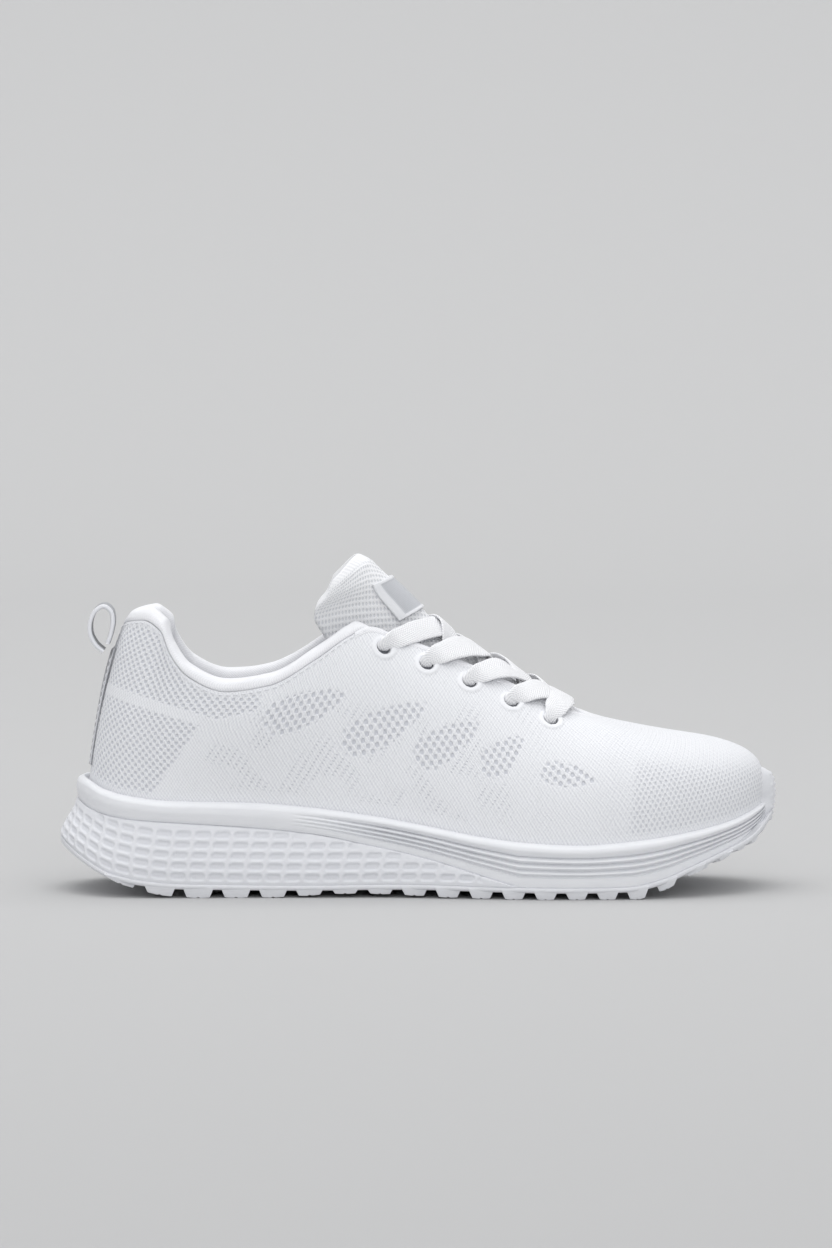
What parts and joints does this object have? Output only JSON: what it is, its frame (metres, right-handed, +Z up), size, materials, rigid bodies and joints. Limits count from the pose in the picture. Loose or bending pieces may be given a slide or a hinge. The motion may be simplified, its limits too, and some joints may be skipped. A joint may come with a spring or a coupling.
{
  "type": "running shoe",
  "caption": "Low-cut knit running shoe for the right foot: layered foam midsole, lugged rubber outsole, padded collar, laced throat, tongue and heel pull loop.",
  "frame": {"origin": "middle of the bounding box, on the ground the tread stands on", "axes": "+X to the toe, +Z up, -Y to the outer (lateral) side of this right shoe"},
  "size_m": [0.2754, 0.0944, 0.1286],
  "materials": {
    "outsole_rubber": "matte moulded rubber",
    "midsole_foam": "textured moulded foam",
    "carrier_foam": "smooth skin moulded foam",
    "board": "stitched nonwoven",
    "sockliner_foam": "brushed mesh on foam",
    "knit": "fine engineered knit",
    "counter_board": "moulded thermoplastic",
    "padding": "open cell foam",
    "lining": "brushed knit lining",
    "reflective_webbing": "reflective woven tape",
    "eyestay_film": "fused film",
    "tongue_knit": "open mesh knit",
    "label_weave": "satin woven label",
    "lace_weave": "flat woven lace",
    "aglet_plastic": "clear film tube"
  },
  "bodies": {
    "shoe": {"outsole": "outsole_rubber", "midsole_lower": "midsole_foam", "midsole_carrier": "carrier_foam", "strobel_board": "board", "sockliner": "sockliner_foam", "knit_upper": "knit", "heel_counter": "counter_board", "toe_puff": "counter_board", "collar_foam": "padding", "collar_lining": "lining", "heel_strip": "reflective_webbing", "eyestay_lateral": "eyestay_film", "eyestay_medial": "eyestay_film", "tongue_cover_lower": "tongue_knit", "tongue_foam_lower": "padding", "tongue_lining_lower": "lining", "lace": "lace_weave", "aglet_lateral": "aglet_plastic", "aglet_medial": "aglet_plastic"},
    "tongue_flap": {"tongue_cover_flap": "tongue_knit", "tongue_foam_flap": "padding", "tongue_lining_flap": "lining", "tongue_label": "label_weave"},
    "pull_tab": {"pull_tab": "reflective_webbing"}
  },
  "joints": [
    {"name": "tongue_bend", "type": "hinge", "parent": "shoe", "child": "tongue_flap", "pos_m": [-0.0012, 0, 0.103], "axis": [0, 1, 0], "range_deg": [-8, 40], "stiffness_Nm_per_rad": 0.06},
    {"name": "pull_tab_bend", "type": "hinge", "parent": "shoe", "child": "pull_tab", "pos_m": [-0.1201, 0, 0.0926], "axis": [0, -1, 0], "range_deg": [0, 75], "stiffness_Nm_per_rad": 0.02}
  ]
}
